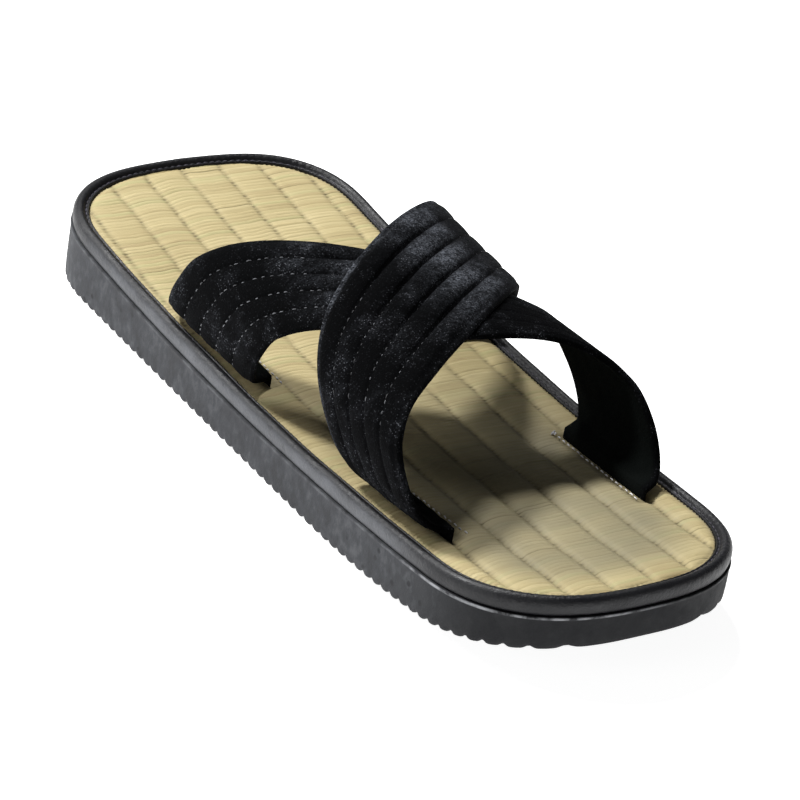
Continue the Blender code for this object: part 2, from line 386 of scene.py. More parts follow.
def velvetMaterial():
    material, tree, shader = startMaterial("strapVelvet")
    place = objectPlace(tree)
    fine = noiseOn(tree, place, 1500.0, 2.0, 0.7)
    cloud = noiseOn(tree, place, 75.0, 3.0, 0.6)
    clumps = remap(tree, noiseOn(tree, place, 420.0, 3.0, 0.6), 0.35, 0.65, 0.25, 1.0)
    grain = times(tree, remap(tree, fine, 0.35, 0.7), clumps)
    # painted sheen: cloudy patches and the strap's sheen mask, broken up by the fine grain
    paintedShading = remap(tree, cloud, 0.47, 0.68, 0.0, 0.13)
    nap = times(tree, attribute(tree, "nap"), remap(tree, cloud, 0.38, 0.62, 0.45, 1.35))
    paintedSheen = times(tree, calculate(tree, "ADD", paintedShading, nap), grain)
    colour = blendColour(tree, paintedSheen, velvetLook["nap"], velvetLook["paintedSheen"])
    # specks of lint on the outside only, most in the cloudy patches and where the sheen is painted
    distance, pick = cellsOn(tree, place, 1900.0)
    lint = times(tree, remap(tree, distance, 0.46, 0.20), remap(tree, pick, 0.68, 1.0, 0.0, 0.95))
    dusty = calculate(tree, "ADD", remap(tree, cloud, 0.45, 0.66, 0.07, 0.75), attribute(tree, "nap"))
    lining = attribute(tree, "lining")
    lint = times(tree, times(tree, lint, dusty), calculate(tree, "SUBTRACT", 1.0, lining))
    colour = blendColour(tree, lining, colour, velvetLook["lining"])
    feed(tree, shader, {
        "Base Color": blendColour(tree, lint, colour, velvetLook["lint"]),
        "Normal": bumpFrom(tree, fine, 0.00030, 0.8),
        "Roughness": 0.95,
        "Specular IOR Level": 0.03,
        "Sheen Weight": velvetLook["sheen"],
        "Sheen Roughness": 0.42,
        "Sheen Tint": (0.62, 0.70, 0.86, 1.0),
    })
    return material


# the dust colour also stands for a painted highlight along the sides
vinylLook = {"colour": (0.0060, 0.0062, 0.0080), "dustAndHighlight": (0.088, 0.092, 0.102), "roughness": (0.38, 0.58)}


def vinylMaterial():
    material, tree, shader = startMaterial("bindingVinyl")
    place = objectPlace(tree)
    smear = noiseOn(tree, place, 95.0, 4.0, 0.6)
    grain = addNode(tree, "TexVoronoi", {"Vector": place, "Scale": 1400.0}).outputs["Distance"]
    # dust and painted highlight on the outer face, mottled by the smears
    dusty = times(tree, remap(tree, smear, 0.30, 0.65, 0.35, 1.0), attribute(tree, "dustAndHighlight"))
    wrinkle = bumpFrom(tree, noiseOn(tree, place, 620.0, 4.0, 0.65), 0.00035, 0.7)
    feed(tree, shader, {
        "Base Color": blendColour(tree, dusty, vinylLook["colour"], vinylLook["dustAndHighlight"]),
        "Roughness": remap(tree, smear, 0.3, 0.7, *vinylLook["roughness"]),
        "Normal": bumpFrom(tree, grain, 0.00012, 0.5, wrinkle),
        "Specular IOR Level": 0.34,
        "Coat Weight": 0.03,
        "Coat Roughness": 0.22,
    })
    return material


rubberLook = {
    # grey is the wall painted as lit; dark is its painted shade and the colour of the pits
    "grey": (0.040, 0.042, 0.047),
    "dark": (0.0085, 0.009, 0.0105),
    "shade": (0.022, 0.023, 0.026),
    "scuff": (0.085, 0.088, 0.094),
    # the painted highlight along the lip's edge
    "lipHighlight": (0.42, 0.43, 0.45),
    "roughness": (0.62, 0.85),
}


def rubberMaterial():
    material, tree, shader = startMaterial("soleRubber")
    place = objectPlace(tree)
    upright = noiseOn(tree, objectPlace(tree, (420.0, 420.0, 230.0)), 1.0, 3.0, 0.6)
    blotch = noiseOn(tree, place, 130.0, 4.0, 0.62)
    speck = noiseOn(tree, place, 1900.0, 2.0, 0.6)
    # grey where the wall is painted as lit, dark where it is painted in shade
    litGreyShare = attribute(tree, "litGreyShare")
    colour = blendColour(tree, litGreyShare, rubberLook["dark"], rubberLook["grey"])
    streaks = remap(tree, upright, 0.3, 0.7, -0.10, 0.10)
    shade = calculate(tree, "ADD", streaks, remap(tree, blotch, 0.3, 0.7, -0.2, 0.2))
    darker = times(tree, remap(tree, shade, 0.03, -0.17, 0.0, 0.95), litGreyShare)
    colour = blendColour(tree, darker, colour, rubberLook["shade"])
    lighter = times(tree, remap(tree, shade, 0.03, 0.22, 0.0, 0.75), litGreyShare)
    colour = blendColour(tree, lighter, colour, rubberLook["scuff"])
    # small round pits here and there
    distance, pick = cellsOn(tree, place, 300.0)
    pit = times(tree, remap(tree, distance, 0.36, 0.16), remap(tree, pick, 0.80, 0.88))
    colour = blendColour(tree, times(tree, pit, 0.75), colour, rubberLook["dark"])
    # the painted highlight along the lip, broken by the blotches
    lipHighlight = times(tree, attribute(tree, "lipHighlight"), remap(tree, blotch, 0.42, 0.60, 0.05, 1.0))
    feed(tree, shader, {
        "Base Color": blendColour(tree, lipHighlight, colour, rubberLook["lipHighlight"]),
        "Roughness": remap(tree, blotch, 0.3, 0.7, *rubberLook["roughness"]),
        "Normal": bumpFrom(tree, speck, 0.00012, 0.5, bumpFrom(tree, upright, 0.00010, 0.6)),
        "Specular IOR Level": 0.25,
    })
    return material


def threadMaterial(name, dark, light, roughness):
    material, tree, shader = startMaterial(name)
    ply = noiseOn(tree, objectPlace(tree), 2600.0, 2.0)
    feed(tree, shader, {
        "Base Color": blendColour(tree, attribute(tree, "tone"), dark, light),
        "Normal": bumpFrom(tree, ply, 0.0001, 0.6),
        "Roughness": roughness,
        "Sheen Weight": 0.15,
    })
    return material


rushFinish = rushMaterial()
velvetFinish = velvetMaterial()
vinylFinish = vinylMaterial()
rubberFinish = rubberMaterial()
topstitchFinish = threadMaterial("topstitchThread", (0.012, 0.013, 0.016), (0.165, 0.173, 0.190), 0.7)
matStitchFinish = threadMaterial("matStitchThread", (0.45, 0.44, 0.46), (0.85, 0.85, 0.86), 0.6)
grooveStitchFinish = threadMaterial("grooveThread", (0.010, 0.009, 0.014), (0.060, 0.052, 0.080), 0.6)
print("finishes made")

# The camera, at the photograph's angle to this one sandal, and with the same perspective
cameraView = {
    "aim": (-0.0030, -0.0110, 0.0182),
    "eye": (-0.60144, -0.80853, 0.57836),
    "roll": 10.04,            # degrees clockwise
    "focal": 3696.0,          # in pixels of an 800 pixel frame
}


def placeCamera():
    eye = Vector(cameraView["eye"])
    back = (eye - Vector(cameraView["aim"])).normalized()
    level = Vector((0.0, 0.0, 1.0)).cross(back).normalized()
    turn = Matrix.Rotation(math.radians(cameraView["roll"]), 4, back)
    right = turn @ level
    up = back.cross(right)
    data = bpy.data.cameras.new("camera")
    data.sensor_width = 36.0
    data.lens = 36.0 * cameraView["focal"] / 800.0
    data.clip_start = 0.05
    data.clip_end = 30.0
    camera = addToScene("camera", data)
    camera.matrix_world = Matrix.Translation(eye) @ Matrix((right, up, back)).transposed().to_4x4()
    bpy.context.scene.camera = camera


placeCamera()

# The sole: rings stacked up the wall, with cross ribs cut in the underside
soleDetail = {
    "stationSpacing": 0.0007,
    "ribPitch": 0.0047,
    "ribDepth": 0.0012,
    "capColumns": 14,
    # how bright the lip's painted highlight line is: along the sides, what the toe adds, and what its -X
    # corner adds
    "lipSide": 0.08,
    "lipToe": 0.10,
    "lipCorner": 0.46,
    # columns: inset from the widest outline, share of the wall's height, rise over that share, share of
    # the rib cut, all lengths in millimetres
    "wall": (
        (2.60, 0.00, 0.00, 1.00),
        (0.90, 0.00, 0.00, 1.00),
        (0.35, 0.00, 0.22, 1.00),
        (0.08, 0.00, 0.70, 0.95),
        (0.00, 0.00, 1.40, 0.80),
        (-0.04, 0.20, 0.60, 0.45),
        (-0.06, 0.38, 0.00, 0.12),
        (-0.05, 0.55, 0.00, 0.00),
        (-0.02, 0.72, 0.00, 0.00),
        (0.00, 0.86, 0.00, 0.00),
        (0.00, 1.00, -1.05, 0.00),
        (-0.10, 1.00, -0.72, 0.00),
        (-0.16, 1.00, -0.42, 0.00),
        (-0.08, 1.00, -0.14, 0.00),
        (0.20, 1.00, -0.02, 0.00),
        (1.10, 1.00, 0.00, 0.00),
    ),
}


def ribCut(y):
    # narrow notches between wide rounded lobes: a high power of the cosine along Y
    return soleDetail["ribDepth"] * np.abs(np.cos(math.pi * y / soleDetail["ribPitch"])) ** 5


def soleTop(y):
    return matTop(y) - matSize["thick"] - soleSize["gap"]


# how strong the lip's painted highlight is at each place
def lipHighlightShare(x, y):
    toe = softStep(-0.060, -0.105, y)
    corner = softStep(-0.075, -0.105, y) * softStep(0.012, -0.018, x)
    return soleDetail["lipSide"] + soleDetail["lipToe"] * toe + soleDetail["lipCorner"] * corner


def makeSole():
    along = evenStations(soleSize["margin"], soleDetail["stationSpacing"])[0]
    rings, lipHighlights = [], []
    for inset, share, rise, cut in soleDetail["wall"]:
        x, y = roundTheOutline(soleSize["margin"] - inset / 1000, along)
        z = mix(soleBottom(y), soleTop(y), share) + rise / 1000 + cut * ribCut(y)
        rings.append(np.stack([x, y, z], axis=-1))
        # only the rows on the turn of the lip carry its painted highlight line
        lipHighlights.append(lipHighlightShare(x, y) if share == 1.0 and -0.9 < rise < -0.1 else 0.0 * y)
    wall = np.array(rings)
    rows, columns = wall.shape[:2]
    half = len(along)
    across = soleDetail["capColumns"] + 1
    points = [wall.reshape(-1, 3)]
    faces = [gridFaces(rows, columns, closeColumns=True)]
    lipHighlight = [np.concatenate(lipHighlights)]
    start = rows * columns
    # flat caps across the underside and the top
    for row, flip in ((0, True), (rows - 1, False)):
        right = wall[row, :half]
        left = wall[row, np.concatenate([[0], np.arange(columns - 1, half - 1, -1), [half - 1]])]
        share = np.linspace(0.0, 1.0, across)[None, :, None]
        points.append(mix(left[:, None], right[:, None], share).reshape(-1, 3))
        capFaces = gridFaces(half, across, start=start)
        faces.append(capFaces if flip else capFaces[:, ::-1])
        lipHighlight.append(np.zeros(half * across))
        start += half * across
    points = np.concatenate(points)
    x, y, z = points.T
    # painted light and shade: dull grey where lit along the two sides, and painted shade round the toe, the
    # heel end and on the underside
    litGreyShare = softStep(-0.125, -0.070, y) * softStep(0.142, 0.118, y) * 0.94 + 0.06
    litGreyShare = litGreyShare * softStep(-0.0002, 0.0012, z - soleBottom(y))
    values = {"litGreyShare": litGreyShare, "lipHighlight": np.concatenate(lipHighlight)}
    return makePiece("rubberSole", points, np.concatenate(faces), rubberFinish, values)


rubberSole = makeSole()
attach(rubberSole, "root")
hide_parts("outsole")

# The binding: a rounded roll carried round the mat, drawn down in a stitched groove beside it
bindingDetail = {
    "stationSpacing": 0.0005,
    "spacedOn": 0.002,        # the margin of the outline that the stations are even on
    "stitchPitch": 0.0025,
    "pucker": 0.00012,
    # the roll is not quite even. Columns: rise, length over one radian, and start in radians
    "waves": ((0.00010, 0.0137, 0.0), (0.00008, 0.0061, 1.3)),
    # columns: distance out from the mat's edge, height over the mat's top, share of the pucker, in mm
    "section": (
        (0.25, -4.50, 0.0),
        (1.60, -4.50, 0.0),
        (3.20, -4.52, 0.0),
        (4.30, -4.55, 0.0),
        (4.72, -4.30, 0.0),
        (4.88, -3.70, 0.0),
        (5.02, -2.90, 0.0),
        (5.08, -2.00, 0.0),
        (5.02, -1.10, 0.0),
        (4.80, -0.30, 0.0),
        (4.45, 0.36, 0.05),
        (3.98, 0.86, 0.15),
        (3.40, 1.16, 0.30),
        (2.80, 1.24, 0.50),
        (2.25, 1.08, 0.75),
        (1.80, 0.70, 1.00),
        (1.50, 0.22, 1.00),
        (1.28, -0.12, 0.60),
        (1.05, -0.20, 0.40),
        (0.80, 0.02, 0.60),
        (0.55, 0.20, 0.80),
        (0.32, 0.10, 0.80),
        (0.22, -0.40, 0.40),
        (0.22, -2.40, 0.0),
    ),
}


def makeBinding():
    along, places = evenStations(bindingDetail["spacedOn"], bindingDetail["stationSpacing"])
    # how far round the closed outline each station is, counted from the toe tip on either side
    run = np.concatenate([places, places[-2:0:-1]])
    pitch = places[-1] / round(places[-1] / bindingDetail["stitchPitch"])
    # a narrow dip at each stitch, as a power of the cosine round the outline
    dip = np.abs(np.cos(math.pi * run / pitch)) ** 3
    wave = sumOfWaves(bindingDetail["waves"], run)
    rings, dustAndHighlight = [], []
    for out, up, pucker in bindingDetail["section"]:
        x, y = roundTheOutline(out / 1000, along)
        z = matTop(y) + up / 1000 - pucker * bindingDetail["pucker"] * dip + wave * softStep(-3.5, 0.5, up)
        rings.append(np.stack([x, y, z], axis=-1))
        # dust and a painted highlight lie on the outer face along the two sides
        side = softStep(-0.105, -0.075, y) * softStep(0.116, 0.082, y)
        dustAndHighlight.append(side * softStep(4.1, 5.0, out) * softStep(-4.7, -4.2, up))
    points = np.array(rings)
    faces = gridFaces(points.shape[0], points.shape[1], closeRows=True, closeColumns=True)
    return makePiece("bindingRoll", points, faces, vinylFinish, {"dustAndHighlight": np.concatenate(dustAndHighlight)}), pitch


bindingRoll, groovePitch = makeBinding()
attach(bindingRoll, "root")
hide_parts("binding")


grooveStitch = {
    "spacedOn": 0.0011,       # the margin of the outline that the threads are even on
    "out": 0.00112,
    "sink": 0.00008,
    "length": 0.0018,
    "radius": 0.00024,
    "bow": 0.22,
    "seed": 21,
}


def makeGrooveStitches():
    # one thread between every two dips of the binding, lying in its groove
    detail = grooveStitch
    along, places = evenStations(detail["spacedOn"], bindingDetail["stationSpacing"])
    count = int(round(places[-1] / groovePitch))
    share = (np.arange(count) + 0.5) / count
    at = np.interp(share * places[-1], places, along)
    x, y = outlineAt(detail["out"], at)
    nextX, nextY = outlineAt(detail["out"], at + 0.002)
    forward = unit(np.stack([nextX - x, nextY - y, matTop(nextY) - matTop(y)], axis=-1))
    centre = np.stack([x, y, matTop(y) - detail["sink"]], axis=-1)
    mirror = np.array([-1.0, 1.0, 1.0])
    centre = np.concatenate([centre, centre * mirror])
    forward = np.concatenate([forward, forward * mirror])
    tone = np.random.default_rng(detail["seed"]).random(len(centre)) ** 1.6
    return makeThreads("grooveStitches", detail, grooveStitchFinish, centre, forward, upFrom(forward), tone)


grooveStitches = makeGrooveStitches()
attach(grooveStitches, "root")
print("sole and binding made")

# The straps, in the sizes of the solids they replace
strapSize = {
    "wall": 0.0026,
    "join": 0.0006,
    "neck": 0.0012,
    # each of these at the toe feet and then at the heel feet
    "halfSpan": (0.0445, 0.0500),
    "height": (0.0425, 0.0495),
    "lean": (0.0135, 0.0090),
    "fullness": (0.95, 0.30),
    "slit": (0.0350, 0.0385),
    "foot": (-0.237, 0.137),  # along Y, as shares of the mat's length
    "swellEndPower": 16,      # how sharply the under strap's swell dies away at its feet
}
# where the edges are along Y, as shares of the mat's length, from the toe foot to the heel foot
topStrap = {
    "heelEdge": (-0.200, -0.082, 0.024, 0.124, 0.240),
    "toeEdge": (-0.334, -0.277, -0.189, -0.082, 0.060),
    "side": 1,
    "lift": strapSize["wall"] - strapSize["join"],
}
underStrap = {
    "heelEdge": (-0.173, -0.097, 0.006, 0.105, 0.219),
    "toeEdge": (-0.334, -0.202, -0.172, -0.085, 0.033),
    "side": -1,
    "lift": 0.0,
}
# how the under strap's toe leg is drawn out of the plain arch, at its heel edge and at its toe edge.
# Columns: out, up, the place along the strap's way, and the reach to either side of it
underSwell = (
    (-0.0078, 0.0078, -0.74, 0.17),
    (0.0066, -0.0009, -0.66, 0.25),
)
# the arch from its crest to a slit. Columns: way, share of the half span and of the height where the
# arch is lean, the same two where it is full, and the tuck to the slit
archRows = (
    (0.00, 0.000, 1.000, 0.00, 1.000, 0.00),
    (0.25, 0.360, 0.955, 0.40, 0.985, 0.00),
    (0.50, 0.680, 0.800, 0.78, 0.900, 0.00),
    (0.70, 0.900, 0.560, 1.00, 0.700, 0.00),
    (0.82, 0.985, 0.300, 1.06, 0.430, 0.00),
    (0.90, 1.000, 0.125, 1.04, 0.170, 0.03),
    (0.96, 1.000, 0.030, 1.01, 0.040, 0.32),
    (1.00, 1.000, 0.000, 1.00, 0.000, 1.00),
)


def smoothRows(rows, way):
    # each column after the first at the given ways: a cubic between rows whose slope at a row is the
    # straight slope between its neighbours
    rows = np.asarray(rows, dtype=float)
    knots = rows[:, 0]
    index = np.clip(np.searchsorted(knots, way, side="left") - 1, 0, len(rows) - 2)
    before = rows[np.maximum(index - 1, 0)]
    start = rows[index]
    end = rows[index + 1]
    beyond = rows[np.minimum(index + 2, len(rows) - 1)]
    step = end[..., :1] - start[..., :1]
    share = (np.asarray(way)[..., None] - start[..., :1]) / step
    slopeIn = (end - before) / (end[..., :1] - before[..., :1]) * step
    slopeOut = (beyond - start) / (beyond[..., :1] - start[..., :1]) * step
    cube = share ** 3
    square = share ** 2
    value = (2 * cube - 3 * square + 1) * start + (cube - 2 * square + share) * slopeIn
    value = value + (3 * square - 2 * cube) * end + (cube - square) * slopeOut
    return np.moveaxis(value[..., 1:], -1, 0)


def archAt(way):
    # spans are odd about the crest, heights and the tuck even
    left = [(-row[0], -row[1], row[2], -row[3], row[4], row[5]) for row in archRows[:0:-1]]
    return smoothRows(left + list(archRows), way)


def edgeAt(places, way):
    rows = [(-1 + number / 2, place) for number, place in enumerate(places)]
    return smoothRows(rows, way)[0] * matSize["length"]


def strapSurface(strap, way, across):
    # the strap's outer face: way runs from -1 at its toe foot to 1 at its heel foot, across from 0 at the
    # heel edge to 1 at the toe edge
    size = strapSize
    side = strap["side"]
    y = mix(edgeAt(strap["heelEdge"], way), edgeAt(strap["toeEdge"], way), across)
    toeFoot, heelFoot = (foot * matSize["length"] for foot in size["foot"])
    share = np.clip((y - toeFoot) / (heelFoot - toeFoot), -0.4, 1.3)
    height = mix(*size["height"], share) + strap["lift"]
    fullness = mix(*size["fullness"], share)
    leanOut, leanUp, fullOut, fullUp, tuck = archAt(way)
    out = mix(leanOut, fullOut, fullness) * mix(*size["halfSpan"], share)
    up = mix(leanUp, fullUp, fullness)
    slit = np.where(way < 0, -size["slit"][0], size["slit"][1])
    x = side * mix(out, slit, tuck) - mix(*size["lean"], share) * up
    z = matTop(y) + size["neck"] + (height - size["neck"]) * up
    if side < 0:
        outBy, upBy, place, reach = (mix(low, high, across) for low, high in zip(*underSwell))
        share = bell(way - place, reach) * (1 - way ** size["swellEndPower"])
        x = x + outBy * share
        z = z + upBy * share
    return np.stack([x, y, z], axis=-1)


strapDetail = {
    "rowSpacing": 0.0007,
    "channels": 5,
    "perChannel": 14,
    "crown": 0.0020,          # how far a channel stands up at the crest of the strap
    "crownLow": 0.00028,      # and down its legs
    "seamSink": 0.0010,       # how far a seam lies under the solid's face at the crest
    "seamSinkLow": 0.00026,   # and down the legs
    "crestReach": 0.30,       # how far from the crest the channels stay full, as a way
    "archPower": 0.46,        # under 1 makes a channel full right up to its seams
    "edgeRound": 0.0013,
    "edgeTurns": (55.0, 20.0, -15.0, -50.0),
    "liningDepth": 0.00215,
    "liningColumns": 20,
    "liningRise": 0.00022,    # how much further the lining stands off over a channel
    "gather": 0.00035,        # small waves where the stitching draws the cloth in
    "fadedQuilt": 0.15,       # what is left of the quilting down the under strap's toe leg
    "tabShort": 0.0004,       # how far an end stops above the mat's underside
}
# painted sheen in the velvet's colour: over the crossing, place and reach as ways, and on the heel edge's
# roll and the columns beside it, and how much of it all the under strap has
strapSheenPaint = {"crest": 1.10, "place": 0.24, "reach": 0.17, "edge": 0.75, "besideEdge": 0.45, "under": 0.25}


def evenWays(strap):
    # ways from slit to slit that are evenly far apart along the strap's middle
    fine = np.linspace(-1.0, 1.0, 2001)
    return evenSplit(strapSurface(strap, fine, np.full(2001, 0.5)), fine, strapDetail["rowSpacing"])


def strapFrame(strap, way, across):
    # the outer face with its unit normal, and the unit directions along and across it, by small steps
    way = np.broadcast_to(way, across.shape)
    here = strapSurface(strap, way, across)
    small = 1e-4
    ahead = strapSurface(strap, np.clip(way + small, -1, 1), across)
    behind = strapSurface(strap, np.clip(way - small, -1, 1), across)
    lengthwise = unit(ahead - behind)
    sideways = unit(strapSurface(strap, way, across + small) - strapSurface(strap, way, across - small))
    normal = unit(np.cross(lengthwise, sideways)) * -strap["side"]
    return here, normal, lengthwise, sideways


def strapWidth(strap, way):
    heelEdge = strapSurface(strap, way, np.zeros(len(way)))
    toeEdge = strapSurface(strap, way, np.ones(len(way)))
    return np.linalg.norm(heelEdge - toeEdge, axis=1)


def quiltShare(strap, way):
    # the under strap's quilting fades away down its toe leg
    if strap["side"] > 0:
        return 1.0 + 0.0 * way
    return mix(strapDetail["fadedQuilt"], 1.0, softStep(-0.18, 0.16, way))


def seamDepth(way):
    return mix(strapDetail["seamSinkLow"], strapDetail["seamSink"], bell(way, strapDetail["crestReach"]))


def channelHeight(way, share, run):
    # five arched channels between deep narrow seams, drawn in a little at each stitch, and fullest over
    # the crest
    place = share * strapDetail["channels"]
    number = np.floor(np.clip(place, 0, strapDetail["channels"] - 1e-9))
    within = place - number
    arch = np.clip(1 - (2 * within - 1) ** 2, 0.0, 1.0) ** strapDetail["archPower"]
    wave = np.sin(run / 0.0031 + 2.1 * number) + 0.7 * np.sin(run / 0.0017 + 4.3 * number)
    wave = wave * strapDetail["gather"] * 0.5 * (1 - arch * 0.6)
    sink = seamDepth(way)
    crown = mix(strapDetail["crownLow"], strapDetail["crown"], bell(way, strapDetail["crestReach"]))
    return (crown + sink) * arch - sink + wave * arch ** 0.5


def makeStrap(name, strap):
    detail = strapDetail
    way, places = evenWays(strap)
    outerShare = np.linspace(0.0, 1.0, detail["channels"] * detail["perChannel"] + 1)
    innerShare = np.linspace(1.0, 0.0, detail["liningColumns"] + 1)
    roll = np.radians(detail["edgeTurns"])
    radius = detail["edgeRound"]
    inset = (radius / strapWidth(strap, way))[:, None]
    wayGrid = way[:, None]

    # the outer face, channel by channel
    here, normal, _, _ = strapFrame(strap, wayGrid, mix(inset, 1 - inset, outerShare[None]))
    lift = channelHeight(wayGrid, outerShare[None], places[:, None]) * quiltShare(strap, wayGrid)
    atEdge = np.minimum(outerShare, 1 - outerShare)[None] * detail["channels"]
    lift = mix(-0.20 * radius, lift, softStep(0.0, 0.30, atEdge))
    outer = here + normal * lift[..., None]

    # the rolled edges and the lining
    edges = []
    for share, angle in ((1.0, roll), (0.0, roll[::-1])):
        here, normal, _, sideways = strapFrame(strap, wayGrid, mix(inset, 1 - inset, share))
        out = (2 * share - 1) * radius * np.cos(angle)[None, :, None] * sideways
        up = (-radius + radius * np.sin(angle) * 0.9)[None, :, None] * normal
        edges.append(here + out + up)
    here, normal, _, _ = strapFrame(strap, wayGrid, mix(inset, 1 - inset, innerShare[None]))
    quilt = detail["liningRise"] * np.sin(math.pi * detail["channels"] * innerShare) ** 2
    inner = here - normal * (detail["liningDepth"] + quilt)[None, :, None]
    rings = np.concatenate([outer, edges[0], inner, edges[1]], axis=1)

    # a tab at each end goes straight down into the slit
    tabs = []
    for tab in (rings[:1].copy(), rings[-1:].copy()):
        tab[..., 2] = np.minimum(tab[..., 2], matTop(tab[..., 1]) - matSize["thick"] + detail["tabShort"])
        tabs.append(tab)
    rings = np.concatenate([tabs[0], rings, tabs[1]])
    rows, columns = rings.shape[:2]
    faces = gridFaces(rows, columns, closeColumns=True)

    wayAll = np.pad(way, 1, mode="edge")[:, None]
    count = len(outerShare)
    # painted sheen: a band over the crossing, fullest mid channel, and lines on and beside the heel edge's
    # roll
    nap = np.zeros((rows, columns))
    within = outerShare * detail["channels"] % 1.0
    fullness = np.clip(1 - (2 * within - 1) ** 2, 0.0, 1.0) ** 0.7
    nap[:, :count] = strapSheenPaint["crest"] * bell(wayAll - strapSheenPaint["place"], strapSheenPaint["reach"]) * fullness
    nap[:, -len(roll):] = strapSheenPaint["edge"]
    nap[:, :2] = strapSheenPaint["besideEdge"]
    if strap["side"] < 0:
        nap *= strapSheenPaint["under"]
    lining = np.zeros((rows, columns))
    lining[:, count + 5:count + 4 + len(innerShare)] = 1.0
    return makePiece(name, rings, faces, velvetFinish, {"nap": nap, "lining": lining},
                     endFaces(rows, columns))


topStrapPad = makeStrap("topStrapPad", topStrap)
underStrapPad = makeStrap("underStrapPad", underStrap)
for piece in (topStrapPad, underStrapPad):
    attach(piece, "root")
    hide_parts("strap_upper")
print("straps made")

# Topstitching down the four seams of each strap
topstitch = {
    "pitch": 0.0035,
    "length": 0.0016,
    "radius": 0.00017,
    "height": 0.00008,        # over the bottom of the seam
    "hidden": 0.0005,         # how far a thread that is lost in the nap lies deeper
    "fromSlit": 0.005,
    "bow": 0.30,
    "uneven": 0.28,           # as a share of the pitch
    "depths": (-0.00028, 0.00008),
    "lengths": (0.5, 1.25),   # as shares of the length
    "napPlace": 0.28,         # where the top strap's nap hides the thread, as a way
    "napReach": 0.32,
}


def makeTopstitches(name, strap, seed):
    dice = np.random.default_rng(seed)
    centres, forwards, upwards, tones = [], [], [], []
    way, places = evenWays(strap)
    insets = strapDetail["edgeRound"] / strapWidth(strap, way)
    count = int((places[-1] - 2 * topstitch["fromSlit"]) / topstitch["pitch"])
    for seam in range(1, strapDetail["channels"]):
        step = np.arange(count) + dice.uniform(-topstitch["uneven"], topstitch["uneven"], count)
        at = np.interp(topstitch["fromSlit"] + step * topstitch["pitch"], places, way)
        inset = np.interp(at, way, insets)
        across = mix(inset, 1 - inset, seam / strapDetail["channels"])
        here, normal, lengthwise, _ = strapFrame(strap, at, across)
        # a thread shows on the legs, and is lost in the top strap's nap and where the quilting fades
        napped = bell(at - topstitch["napPlace"], topstitch["napReach"]) if strap["side"] > 0 else 0.0
        shown = (1 - napped) * softStep(-0.88, -0.52, at) * quiltShare(strap, at) ** 4
        depth = topstitch["height"] + topstitch["radius"] - seamDepth(at) * quiltShare(strap, at)
        depth = depth - topstitch["hidden"] * (1 - shown) + dice.uniform(*topstitch["depths"], count)
        centres.append(here + normal * depth[:, None])
        forwards.append(lengthwise)
        upwards.append(normal)
        # lighter on the heel legs
        power = mix(1.9, 0.8, softStep(0.1, 0.4, at))
        tones.append(dice.random(count) ** power * shown)
    centre = np.concatenate(centres)
    tone = np.concatenate(tones)
    lengths = dice.uniform(*topstitch["lengths"], len(centre))
    return makeThreads(name, topstitch, topstitchFinish, centre, np.concatenate(forwards),
                       np.concatenate(upwards), tone, lengths)


topStitches = makeTopstitches("topStrapStitches", topStrap, 5)
underStitches = makeTopstitches("underStrapStitches", underStrap, 6)
for piece in (topStitches, underStitches):
    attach(piece, "root")

# The rush mat: rushes laid across, held by warp cords that run lengthwise in dips
matDetail = {
    "rushPitch": 0.00168,
    "rowsPerRush": 5,
    "columns": 112,
    "rushCrown": 0.00013,
    # how the rushes wander from column to column. Columns: rushes, the lengths over one radian along X and
    # along Y, and start in radians
    "rushWaves": ((0.35, 0.017, 0.031, 0.0), (0.22, 0.0077, 0.013, 2.0)),
    "warpMiddle": -0.00465,   # where one warp line crosses mid length
    "warpDrift": 0.0241,      # how far the lines slant, per metre of length
    # how the lines waver. Columns: columns of the mat, length over one radian, and start in radians
    "warpWaves": ((0.016, 0.0093, 0.0), (0.012, 0.0041, 1.7)),
    "warpDip": 0.00042,
    "warpReach": 0.0012,
    "pillow": 0.00045,
    "pillowToe": 1.60,        # as shares of the pillow, under the toes and towards the heel
    "pillowHeel": 0.65,
    "rim": 0.0040,            # how far in from the edge the relief fades
    "rimSpacing": 0.0017,
    "edgeDrop": 0.0006,
    "endGap": 0.00012,
    "uneven": 0.00006,        # how much the rushes differ in height
    "sunk": 0.0003,           # how far all of it lies under the solid's top
    "slitDip": 0.0007,
    "slitReach": 0.0016,
    "seed": 11,
}


def warpPlace(x, y):
    # which warp column a place is in, in columns; the lines waver a little
    line = (x - matDetail["warpMiddle"] - matDetail["warpDrift"] * y) / matSize["warpPitch"]
    return line + sumOfWaves(matDetail["warpWaves"], y)


def pillowHeight(x, y):
    # each column stands up as a low pillow between its warp lines, most where the toes press
    line = warpPlace(x, y)
    away = np.abs(line - np.round(line))
    dip = matDetail["warpDip"] * bell(away * matSize["warpPitch"], matDetail["warpReach"])
    height = matDetail["pillow"] * (1 - (1 - 2 * away) ** 2) - dip
    return height * mix(matDetail["pillowToe"], matDetail["pillowHeel"], softStep(-0.070, 0.010, y))


def slitEnds(strap):
    # for the toe slit and then the heel slit: its place in the strap's tables, its X, and its two ends in Y
    for end, way in ((0, -1), (-1, 1)):
        low, high = (strap[edge][end] * matSize["length"] for edge in ("toeEdge", "heelEdge"))
        yield end, way * strap["side"] * strapSize["slit"][end], low, high


def nearSlits(x, y):
    # 1 over a strap's slit and falling off within about 2 mm round it
    deepest = np.zeros(np.broadcast(x, y).shape)
    for strap in (topStrap, underStrap):
        for end, slit, low, high in slitEnds(strap):
            middle = slit - math.copysign(strapSize["wall"] / 2, slit)
            awayX = np.maximum(np.abs(x - middle) - strapSize["wall"] / 2, 0.0)
            awayY = np.maximum(np.maximum(low - y, y - high), 0.0)
            deepest = np.maximum(deepest, bell(np.hypot(awayX, awayY), matDetail["slitReach"]))
    return deepest


